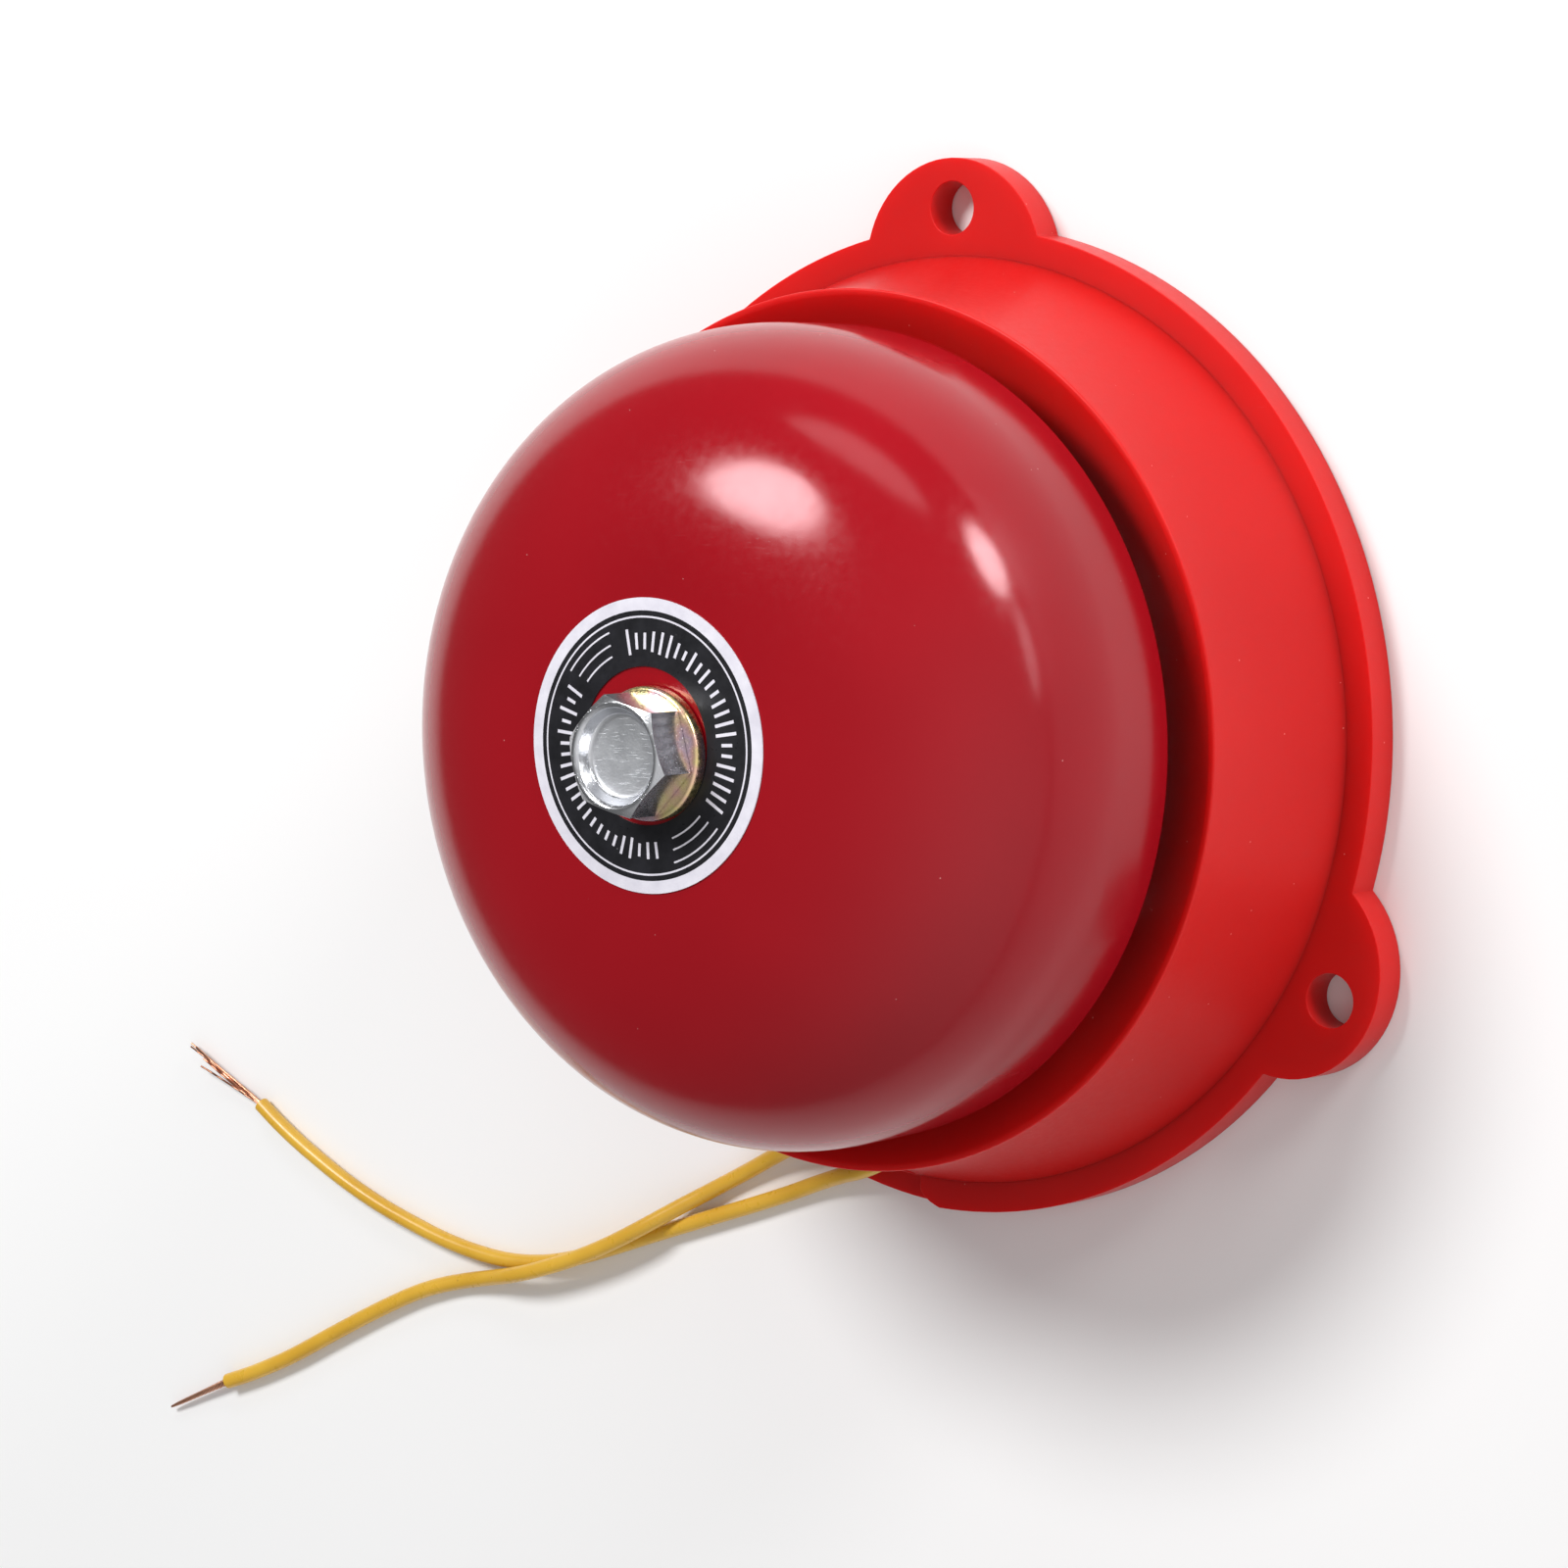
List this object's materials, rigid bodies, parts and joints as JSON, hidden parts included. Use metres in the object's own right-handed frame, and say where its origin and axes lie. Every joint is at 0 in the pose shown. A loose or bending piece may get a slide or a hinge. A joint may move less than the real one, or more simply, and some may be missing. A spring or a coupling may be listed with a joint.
{
  "type": "fire alarm bell",
  "caption": "Small inside-strike electric alarm bell: a domed gong bolted over a lugged round base that holds a solenoid striker, with two free leads.",
  "frame": {"origin": "on the gong's axis, in the plane of the back cover's and flange's back faces", "axes": "+Z along the gong's axis towards the front, +Y towards the top mounting lug, +X to the right seen from the front; as modelled the bell lies on its back on a table with its leads on the same surface, and on a wall it is turned so that +Z points away from the wall and +Y points up"},
  "size_m": [0.1547, 0.1295, 0.055],
  "materials": {
    "gong_red_paint": "gloss crimson paint on steel",
    "base_red_plastic": "semi-gloss moulded red plastic",
    "label_face": "printed film, black with fine white lines and a pale border",
    "bright_zinc": "bright zinc plated steel",
    "yellow_zinc": "yellow passivated zinc on steel",
    "plain_steel": "plain turned or rolled steel",
    "brass_tube": "drawn brass",
    "copper_wire": "bare or enamelled copper wire",
    "black_plastic": "matte black moulding",
    "white_nylon": "natural nylon",
    "black_rubber": "matte rubber",
    "yellow_insulation": "semi-gloss golden yellow PVC",
    "red_insulation": "semi-gloss red PVC",
    "yellow_tape": "yellow winding tape"
  },
  "bodies": {
    "bell": {"gong": "gong_red_paint", "label_ring": "label_face", "gong_bolt": "bright_zinc", "gong_washer": "yellow_zinc", "seat_washer": "black_rubber", "centre_post": "plain_steel", "post_lock_washer": "bright_zinc", "post_nut": "bright_zinc", "mounting_plate": "plain_steel", "plate_screw_1": "bright_zinc", "plate_screw_2": "bright_zinc", "plate_screw_3": "bright_zinc", "base_housing": "base_red_plastic", "back_cover": "black_plastic", "cover_screw_1": "plain_steel", "cover_screw_2": "plain_steel", "cover_screw_3": "plain_steel", "coil_frame": "plain_steel", "coil_bobbin": "white_nylon", "coil_winding": "copper_wire", "coil_wrap": "yellow_tape", "guide_tube": "brass_tube", "return_spring": "plain_steel", "spring_seat": "bright_zinc", "buffer_ring": "black_rubber", "frame_screw_1": "bright_zinc", "frame_screw_2": "bright_zinc", "rectifier_diode": "black_plastic", "coil_lead_1": "red_insulation", "coil_lead_2": "red_insulation", "splice_sleeve_1": "black_plastic", "splice_sleeve_2": "black_plastic", "cable_clamp": "white_nylon", "clamp_screw_1": "plain_steel", "clamp_screw_2": "plain_steel", "lead_wire_1": "yellow_insulation", "lead_wire_2": "yellow_insulation", "bare_end_1": "copper_wire", "bare_end_2": "copper_wire"},
    "striker": {"plunger": "plain_steel", "striker_rod": "plain_steel", "striker_tip": "brass_tube", "plunger_clip": "bright_zinc"}
  },
  "joints": [
    {"name": "striker_slide", "type": "slide", "parent": "bell", "child": "striker", "axis": [1, 0, 0], "range_m": [0, 0.004], "stiffness_N_per_m": 150, "springref_m": -0.003, "deforming": ["return_spring"]}
  ]
}
